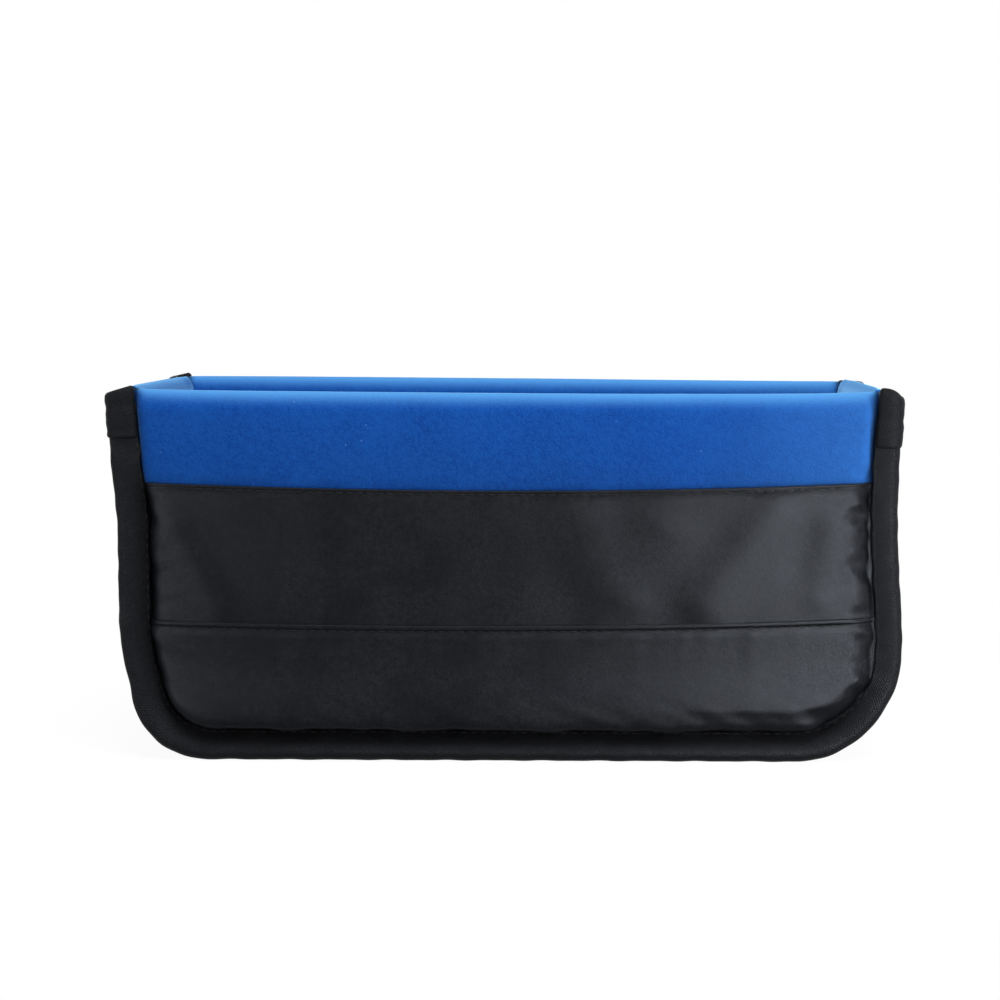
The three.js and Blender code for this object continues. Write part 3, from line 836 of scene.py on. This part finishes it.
class INSERT_OT_linings(bpy.types.Operator):
    """Make the loop-cloth linings of the walls and of the strip round the sides and base"""

    bl_idname = "bag_insert.linings"
    bl_label = "Linings"

    def execute(self, context):
        s = context.scene.insert_sizes
        x = wall_stations(LINING_STATIONS)
        for node in ("front_lining", "back_lining"):
            path = wall_lining_path(x, node == "front_lining")
            rings = across_width(backed(path, s.cloth), x)
            # Painted shade: a share of dark navy that fades with distance from the tape's inner edge, stored
            # on each point
            away = np.clip(inside_tape(rings[..., 0], rings[..., 2]), 0, None)
            painted_shade = PAINTED_SHADE_SHARE * np.exp(-((away / s.painted_shade_width) ** 2))
            flat = (2 * HALF_WIDTH, WALL_LINING_HEIGHT)
            piece = sheet(node, "cloth", lipped(rings), "blue_loop_cloth", flat)
            nap = piece.data.attributes.new("painted_shade", "FLOAT", "POINT")
            nap.data.foreach_set("value", painted_shade.astype(np.float32).ravel())
        lining_strip(s)
        return {"FINISHED"}


def cover_strip(s):
    """The cover of the sides and base, swollen a little between its bound edges."""
    flat = corner_path(s.side_valley + s.cover_depth, s.hem_height, straight=60)
    y = np.linspace(-1, 1, 90)[:, None] * (HALF_DEPTH - s.cover_tuck)
    free = side_free(y)
    height = flat[:, 1]
    edge = fade(free, 6) * (free > 0)
    waves = ripple(height + 0.2 * y, (0.15, 9.3, 0.5), (0.1, 6.7, 1.7)) * MM * edge
    standing = ramp(height, 0, 20)
    fold = folded_edge(s.hem_height - height, s.hem_fold, s.hem_rise) * ramp(free, 0, 3)
    rise = (side_puff(y) + waves) * standing + fold
    path = flat + rise[..., None] * right_of(flat)
    rings = across_depth(backed(path[:, ::-1], s.nylon), y)
    sheet("gusset_cover", "nylon", rings, "woven_nylon", STRIP_COVER_FLAT)


class INSERT_OT_covers(bpy.types.Operator):
    """Make the nylon covers of the front, the back and the strip round the sides and base"""

    bl_idname = "bag_insert.covers"
    bl_label = "Covers"

    def execute(self, context):
        s = context.scene.insert_sizes
        x = wall_stations(COVER_STATIONS)
        edges = sewn_edges()
        # Each panel: node, lower edge, folded top edge and the height of its flat sheet
        for node, low, edge, tall in (
            ("front_lower_panel", foot_line, "front_lap", 0.05),
            ("front_upper_panel", under_lap, "front_hem", 0.057),
            ("back_cover", foot_line, "back_hem", 0.099),
        ):
            path = cover_path(x, low, *edges[edge])
            rings = lipped(across_width(backed(path, s.nylon), x))
            sheet(node, "nylon", rings, "woven_nylon", (2 * HALF_WIDTH, tall))
        cover_strip(s)
        return {"FINISHED"}


def foam_ring(s, x, inner, lapped):
    """Up the outer face of a wall's foam, over its round top and down the inner face."""
    gap = 0.5 * MM
    low, base = foot_line(x) + gap, rim_line(x, lapped) - s.rim_round
    z = low + np.linspace(0, 1, 24) * (base - low)
    outer = face_depth(x, z, 2 if lapped else 1) + s.cloth + gap
    face = joined(np.minimum(outer, inner - gap), z)
    roll = rolled(face[:, -1:, 0], inner, base, s.rim_round - s.cloth - 0.4 * MM, 9)
    back = joined(inner, np.concatenate([base, low], axis=1))
    return chain(face, roll, back)


class INSERT_OT_padding(bpy.types.Operator):
    """Make the foam of the walls and give the base stiffener its finish"""

    bl_idname = "bag_insert.padding"
    bl_label = "Padding"

    def execute(self, context):
        s = context.scene.insert_sizes
        inner = WALL - s.cloth - 0.2 * MM
        x = wall_stations(FOAM_STATIONS)
        for node in ("front_foam", "back_foam"):
            rings = across_width(foam_ring(s, x[:, None], inner, node == "front_foam"), x)
            padded(node, "pad", rings, "grey_foam")
        outer = s.side_valley + s.cover_depth + s.lap_step + s.cloth + 0.4 * MM
        outside, inside = (corner_path(depth, RIM - s.rim_round, 20, 16, 20) for depth in (outer, inner))
        y = np.linspace(-1, 1, 12)[:, None] * (HALF_DEPTH - WALL - 0.3 * MM)
        rings = across_depth(chain(outside, inside[::-1]), y)
        padded("gusset_foam", "pad", rings, "grey_foam")
        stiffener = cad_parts["base_stiffener"]
        stiffener.data.materials.clear()
        stiffener.data.materials.append(bpy.data.materials["black_sheet"])
        return {"FINISHED"}


# Binding


def tape_dip(leg, sink, reach):
    """How deep the tape's face lies at a distance from its folded edge."""
    fold = sizes().tape_fold
    share = np.clip((leg - fold) / (reach - fold), 0, 1)
    return sink * share**1.5


def tape_profile(face_sink, side_sink, reach):
    """The tape's outer face from its sewn edge on the front to that on the side, as (inward, depth)."""
    s = sizes()
    leg = np.linspace(reach, s.tape_fold, 26)
    face = joined(leg, tape_dip(leg, face_sink, reach))
    side = joined(tape_dip(leg, side_sink, reach), leg)
    turn = np.linspace(0, np.pi / 2, 11)[1:-1]
    fold = s.tape_fold * (1 - joined(np.sin(turn), np.cos(turn)))
    return chain(face, fold, side[::-1])


def tape_stops(s, top):
    """Stops along the tape: the centre that each turns about, across and up, and its angle."""
    start = HALF_WIDTH - s.corner_radius
    down = np.linspace(top, s.corner_radius, 70)
    turn = np.linspace(np.pi, 1.5 * np.pi, 34)
    floor = np.linspace(-start, 0, 60)
    upright, round_left = joined(-start, down[:-1], np.pi), joined(-start, s.corner_radius, turn)
    left = chain(upright, round_left, joined(floor[1:], s.corner_radius, 1.5 * np.pi))
    right = left[-2::-1] * [-1, 1, -1] + [0, 0, 3 * np.pi]
    return chain(left, right)


def laid_on_tape(stops, profile):
    """Points of a profile of (inward, depth) at each stop along the bound edge."""
    radius = sizes().corner_radius - profile[..., 0]
    x = stops[:, 0:1] + radius * np.cos(stops[:, 2:3])
    z = stops[:, 1:2] + radius * np.sin(stops[:, 2:3])
    return joined(x, profile[..., 1] - HALF_DEPTH, z)


def edge_places(stops):
    """Places across and up the bound edge at each stop."""
    x, _, z = laid_on_tape(stops, np.zeros((1, 2)))[:, 0].T
    return x, z


def tape_end(s, node, across, slant, curve, lower, longer):
    """A second thickness of tape, folded over a cut end and soft at all its edges."""
    low, high = TAPE_END_LOW.z - longer, TAPE_END_HIGH.z
    proud = TAPE_END_HIGH.x - HALF_WIDTH
    turn = np.linspace(0, np.pi / 2, 8)
    near, far = s.end_half * (1 - np.cos(turn)), s.end_half * (1 - np.sin(turn))
    side = joined(np.linspace(low + s.end_half, high - s.end_half, 14), 0)
    rings = []
    for height, less in chain(joined(low + near, far), side[1:-1], joined(high - far, near)):
        up = (height - low) / (high - low)
        reach = tape_reach(across * HALF_WIDTH, height)
        outer = tape_profile(s.rim_valley, s.side_valley, reach)
        crumpled = ripple(height + 0.02 * across, (0.08, 9.3, 0.2), (0.06, 5.1, 1.4))
        ring = end_ring(outer, proud * (0.6 + 0.4 * up + crumpled), s.end_half, less)
        droop = slant * s.end_slant * smooth(up) * (1 - np.clip(ring[:, 0] / reach, 0, 1)) ** curve
        rings.append(np.column_stack([ring - [HALF_WIDTH, HALF_DEPTH], height - lower - droop]))
    swept(node, "fold", np.array(rings) * [-across, 1, 1], "black_binding_tape")


def end_ring(outer, proud, half, less):
    """One level of a tape end: its run shortened and its thickness drawn in where the end is round."""
    run = run_of(outer)
    at = less + (run[-1] - 2 * less) * (1 - np.cos(np.linspace(0, np.pi, 60))) / 2
    path = points_at(at, run, outer)
    right = right_of(path)
    near = np.clip(np.minimum(at - less, run[-1] - less - at) / half, 0, 1)
    middle = path + right * (half - proud)
    offset = right * ((half - less) * np.sqrt(1 - (1 - near) ** 2))[:, None]
    return chain(middle - offset, (middle + offset)[::-1][1:-1])


class INSERT_OT_bindings(bpy.types.Operator):
    """Make the folded tape round the front and back edges and its turned-over ends"""

    bl_idname = "bag_insert.bindings"
    bl_label = "Bindings"

    def execute(self, context):
        s = context.scene.insert_sizes
        stops = tape_stops(s, TAPE_HIGH.z - 5 * MM)
        places = edge_places(stops)
        shape = zip(valley(*places), tape_reach(*places))
        profiles = np.array([tape_profile(sink, s.side_valley, reach) for sink, reach in shape])
        rings = backed(profiles, s.tape)
        along = np.arange(len(stops))[:, None] * 2.2 * MM
        sewn = 0.6 + ramp(np.max(rings, axis=2), 6, 5)
        uneven = sewn * ripple(along, (0.12, 23, 0.3), (0.09, 13.7, 1.2)) * MM
        points = laid_on_tape(stops, rings + uneven[..., None])
        for node in ("front_binding", "back_binding"):
            swept(node, "tape", points, "black_binding_tape")
        # Each end: node, across, share of the slant and its curve, how much lower and longer it is
        for end in (
            ("front_left_tape_end", -1, 1.1, 1, 0, 0.5 * MM),
            ("front_right_tape_end", 1, 1.1, 3, 0, 2.9 * MM),
            ("back_right_tape_end", -1, 0.2, 1, 1.5 * MM, 0),
            ("back_left_tape_end", 1, 0.7, 1, -0.6 * MM, 0),
        ):
            tape_end(s, *end)
        return {"FINISHED"}


# Stitching

THREAD_SIDES = 6


def stitch_row(name, line, out):
    """A row of thread stitches along a line of points, each bowed above the cloth it holds."""
    s = sizes()
    run = run_of(line)
    pitch = s.stitch + s.stitch_gap
    starts = np.arange(pitch / 2, run[-1] - s.stitch, pitch)
    share = np.array([0, 0.08, 0.3, 0.5, 0.7, 0.92, 1])
    thick = np.array([0.35, 0.8, 1, 1, 1, 0.8, 0.35]) * s.thread
    lift = np.array([-0.55, 0.05, 0.3, 0.35, 0.3, 0.05, -0.55]) * s.thread * 2
    at = starts[:, None] + share * s.stitch
    place, normal = points_at(at, run, line), unit(points_at(at, run, out))
    aside = np.cross(unit(place[:, -1:] - place[:, :1]), normal)
    turn = np.linspace(0, 2 * np.pi, THREAD_SIDES, endpoint=False)[:, None]
    ring = aside[:, :, None] * np.cos(turn) + normal[:, :, None] * np.sin(turn)
    centre = place + normal * lift[:, None]
    points = (centre[:, :, None] + ring * thick[:, None, None]).reshape(-1, 3)
    quads = tube_faces(len(share), THREAD_SIDES)[0][:, [0, 3, 2, 1]]
    size = len(share) * THREAD_SIDES
    ends = np.arange(THREAD_SIDES) * [[1], [-1]] + [[0], [size - 1]]
    faces = []
    for first in range(0, len(points), size):
        faces += (quads + first).tolist() + (ends + first).tolist()
    uvs = np.zeros((sum(len(face) for face in faces), 2))
    new_piece(name, settle(points), faces, uvs, "black_thread", "shell")


def sew(name, line, out):
    """A row of stitches, turned if it is on the back wall."""
    if name.startswith("back"):
        line, out = turned(line), turned(out)
    stitch_row(name, line, out)


def tape_rows(s):
    """Rows beside the tape's two sewn edges, on the front or back and on the sides."""
    stops = tape_stops(s, TAPE_END_LOW.z)
    places = edge_places(stops)
    reach = tape_reach(*places)
    inset = reach - 0.8 * MM
    front_sink = tape_dip(inset, valley(*places), reach) + 0.3 * MM
    side_sink = tape_dip(inset, s.side_valley, reach) + 0.2 * MM
    turn = stops[:, 2]
    for name, profile, out in (
        ("face", joined(inset, front_sink), joined(0.0 * turn, -1.0, 0.0)),
        ("side", joined(side_sink, inset), joined(np.cos(turn), 0.0, np.sin(turn))),
    ):
        line = laid_on_tape(stops, profile[:, None])[:, 0]
        for wall in ("front", "back"):
            sew(f"{wall}_tape_{name}_stitches", line, out)


class INSERT_OT_stitching(bpy.types.Operator):
    """Sew the hems, the lapped seam and both edges of the binding tape"""

    bl_idname = "bag_insert.stitching"
    bl_label = "Stitching"

    def execute(self, context):
        s = context.scene.insert_sizes
        x = np.linspace(-1, 1, 240) * (HALF_WIDTH - s.tape_leg - 7 * MM)
        for name, (high, layer, fold, rise, detail) in sewn_edges().items():
            z = high(x) - fold
            line = joined(x, sewn_depth(x, z, high, layer, fold, rise, detail) - HALF_DEPTH, z)
            sew(f"{name}_stitches", line, joined(0.0 * x, -1.0, 0.0))
        tape_rows(s)
        return {"FINISHED"}


# Dividers


def divider_ring(half, low, high, count=12):
    """Upright outline of a divider with a round top, as (x, height) from its left foot to its right."""
    base = high - half
    left = joined(-half, np.linspace(low, base, 30))
    turn = np.linspace(np.pi, 0, 2 * count + 1)[1:-1]
    top = joined(half * np.cos(turn), base + half * np.sin(turn))
    foot = joined(np.linspace(half, -half, 7)[1:-1], low)
    return chain(left, top, mirrored(left), foot)


def box_across(node):
    """A solid's box, with half its width and the place of its middle."""
    low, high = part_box(node)
    return low, high, (high.x - low.x) / 2, (high.x + low.x) / 2


def divider_cover(body, s):
    """Loop cloth round the foam, puffed in the middle and drawn in at both ends."""
    node = f"{body}_cover"
    low, high, half, middle = box_across(node)
    ends = np.array([0, 0.002, 0.006, 0.014, 0.03])
    share = np.concatenate([ends, np.linspace(0.06, 0.94, 40), 1 - ends[::-1]])
    rings = []
    for at in share:
        edge = min(at, 1 - at) * (high.y - low.y)
        slim = 1.6 * MM * (1 - ramp(edge, 0, 2.2))
        x, z = divider_ring(half - slim, low.z, high.z - slim).T
        level = np.clip((z - low.z) / (high.z - low.z), 0, 1)
        puff = s.divider_puff * ramp(edge, 0, 16) * np.sin(np.pi * level) ** 0.6
        rings.append(joined(middle + x + np.sign(x) * puff, low.y + at * (high.y - low.y), z))
    padded(node, "cloth", np.array(rings), "blue_loop_cloth", body)


def divider_foam(body):
    node = f"{body}_foam"
    low, high, half, middle = box_across(node)
    inset = 1.2 * MM
    ring = divider_ring(half - inset, low.z + inset, high.z - inset, 6)
    y = np.linspace(low.y + 3 * MM, high.y - 3 * MM, 6)[:, None]
    padded(node, "pad", across_depth(ring + [middle, 0], y), "grey_foam", body)


def divider_hook(body, end):
    """Hook tape in plan, folded round the end of a divider, from the floor to the round of its top."""
    node = f"{body}_{end}_hook"
    low, high, half, middle = box_across(node)
    thick, fold = 0.9 * MM, 1.6 * MM
    right = joined(half, np.linspace(high.y - low.y, fold, 16))
    turn = np.linspace(0, np.pi / 2, 7)[1:-1]
    bend = joined(half - fold + fold * np.cos(turn), fold - fold * np.sin(turn))
    flat = joined(np.linspace(half - fold, 0, 6), 0)
    quarter = chain(right, bend, flat)
    path = chain(quarter, mirrored(quarter[:-1]))
    x, inward = backed(path[None, ::-1], thick)[0].T
    y = low.y + inward if end == "front" else high.y - inward
    z = np.linspace(low.z + 0.4 * MM, high.z, 50)[:, None]
    swept(node, "tape", joined(middle + x, y, z), "black_hook_tape", body)


class INSERT_OT_dividers(bpy.types.Operator):
    """Make the padded dividers with hook tape folded round both ends"""

    bl_idname = "bag_insert.dividers"
    bl_label = "Dividers"

    def execute(self, context):
        for body in ("left_divider", "right_divider"):
            divider_cover(body, context.scene.insert_sizes)
            divider_foam(body)
            for end in ("front", "back"):
                divider_hook(body, end)
        return {"FINISHED"}


# Stage

# The photograph's viewpoint: the camera's place, turn and tilt in degrees, lens and sideways shift
CAMERA_PLACE = (0.0324, -0.8335, 0.168)
CAMERA_TURN = 1.2
CAMERA_TILT = 5.29
CAMERA_LENS = 77.1
CAMERA_SHIFT = -0.048

# Lamps: name, place, target, width, height, power, and whether they light matt and glossy surfaces
LAMPS = (
    ("top", (0.15, -0.50, 1.20), (0, 0, 0.08), 0.8, 0.8, 22.0, True, True),
    ("side", (0.36, -0.11, 0.10), (0.13, -0.06, 0.10), 0.14, 0.14, 1.25, True, False),
    ("fill", (-0.40, -0.50, 0.25), (-0.10, -0.06, 0.09), 0.3, 0.3, 0.45, True, True),
    ("back", (-0.25, 0.90, 0.30), (0, 0.06, 0.07), 0.6, 0.4, 6.0, True, True),
    ("right_card", (0.25, -0.41, 0.06), (0.13, -0.06, 0.05), 0.17, 0.14, 0.88, False, True),
    ("left_card", (-0.38, -0.40, 0.06), (-0.13, -0.06, 0.06), 0.16, 0.14, 0.26, False, True),
)
CARD_SPREAD = 70
FLOOR_REACH = 4.0


def seen_white(tree, rays):
    """Whether a ray comes from the camera or from a glossy or clear surface."""
    gloss = math_node(tree, "MAXIMUM", rays["Is Glossy Ray"], rays["Is Transmission Ray"])
    return math_node(tree, "MAXIMUM", rays["Is Camera Ray"], gloss)


def add_camera(scene):
    data = bpy.data.cameras.new("camera")
    data.lens = CAMERA_LENS
    data.shift_x = CAMERA_SHIFT
    camera = bpy.data.objects.new("camera", data)
    camera.location = CAMERA_PLACE
    camera.rotation_euler = (math.radians(90 - CAMERA_TILT), 0, math.radians(CAMERA_TURN))
    scene.collection.objects.link(camera)
    scene.camera = camera


def add_lamp(name, place, target, width, height, power, in_diffuse, in_gloss):
    data = bpy.data.lights.new(name, "AREA")
    data.shape = "RECTANGLE"
    data.size = width
    data.size_y = height
    data.energy = power
    if not in_diffuse:
        data.spread = math.radians(CARD_SPREAD)
    lamp = bpy.data.objects.new(name, data)
    lamp.visible_camera = False
    lamp.visible_diffuse = in_diffuse
    lamp.visible_glossy = in_gloss
    lamp.location = place
    lamp.rotation_euler = (Vector(target) - Vector(place)).to_track_quat("-Z", "Y").to_euler()
    bpy.context.collection.objects.link(lamp)


def add_floor(c):
    """A pale floor that the camera sees nearly white, with the insert's shadow kept."""
    mesh = bpy.data.meshes.new("floor")
    corners = [(x * FLOOR_REACH, y * FLOOR_REACH, 0) for x, y in ((-1, -1), (1, -1), (1, 1), (-1, 1))]
    mesh.from_pydata(corners, [], [(0, 1, 2, 3)])
    floor = bpy.data.objects.new("floor", mesh)
    bpy.context.collection.objects.link(floor)
    look = bpy.data.materials.new("studio_floor")
    look.use_nodes = True
    tree = look.node_tree
    surface = tree.nodes["Principled BSDF"]
    rays = tree.nodes.new("ShaderNodeLightPath").outputs
    shade = mixed_colour(tree, rays["Is Camera Ray"], c.floor_bounce, c.floor)
    feed(tree, surface.inputs["Base Color"], shade)
    feed(tree, surface.inputs["Roughness"], 0.9)
    away = add_node(tree, "ShaderNodeVectorMath", {"operation": "LENGTH"})
    feed(tree, away.inputs[0], tree.nodes.new("ShaderNodeTexCoord").outputs["Object"])
    lit = eased(tree, away.outputs["Value"], 0.16, 0.34, 0.94, 1.0)
    white = add_node(tree, "ShaderNodeEmission", Strength=1.0)
    mix = tree.nodes.new("ShaderNodeMixShader")
    shown = times(tree, seen_white(tree, rays), lit)
    for socket, value in zip(mix.inputs, (shown, surface.outputs[0], white.outputs[0])):
        feed(tree, socket, value)
    feed(tree, tree.nodes["Material Output"].inputs["Surface"], mix.outputs[0])
    mesh.materials.append(look)


def add_sky(scene):
    world = bpy.data.worlds.new("studio")
    world.use_nodes = True
    tree = world.node_tree
    back = tree.nodes["Background"].inputs
    rays = tree.nodes.new("ShaderNodeLightPath").outputs
    feed(tree, back["Strength"], eased(tree, seen_white(tree, rays), 0, 1, 0.06, 1.0))
    feed(tree, back["Color"], (1, 1, 1))
    scene.world = world


class INSERT_OT_stage(bpy.types.Operator):
    """Set up the materials, the floor, the soft lights, the sky and the camera"""

    bl_idname = "bag_insert.stage"
    bl_label = "Stage"

    def execute(self, context):
        make_materials(colours())
        add_camera(context.scene)
        add_floor(colours())
        add_sky(context.scene)
        for lamp in LAMPS:
            add_lamp(*lamp)
        context.scene.view_settings.view_transform = "Standard"
        return {"FINISHED"}


class INSERT_PT_sidebar(bpy.types.Panel):
    """Lists the insert's pieces in the order in which they are made"""

    bl_label = "Camera bag insert"
    bl_idname = "INSERT_PT_sidebar"
    bl_space_type = "VIEW_3D"
    bl_region_type = "UI"
    bl_category = "Insert"

    def draw(self, context):
        for operator in OPERATORS:
            self.layout.operator(operator.bl_idname)


OPERATORS = (
    INSERT_OT_stage,
    INSERT_OT_padding,
    INSERT_OT_linings,
    INSERT_OT_covers,
    INSERT_OT_bindings,
    INSERT_OT_stitching,
    INSERT_OT_dividers,
)
CLASSES = (InsertSizes, InsertColours, *OPERATORS, INSERT_PT_sidebar)


def register():
    for cls in CLASSES:
        bpy.utils.register_class(cls)
    bpy.types.Scene.insert_sizes = PointerProperty(type=InsertSizes)
    bpy.types.Scene.insert_colours = PointerProperty(type=InsertColours)


def unregister():
    del bpy.types.Scene.insert_colours
    del bpy.types.Scene.insert_sizes
    for cls in reversed(CLASSES):
        bpy.utils.unregister_class(cls)


def main():
    register()
    for operator in OPERATORS:
        group, name = operator.bl_idname.split(".")
        getattr(getattr(bpy.ops, group), name)()


if __name__ == "__main__":
    main()
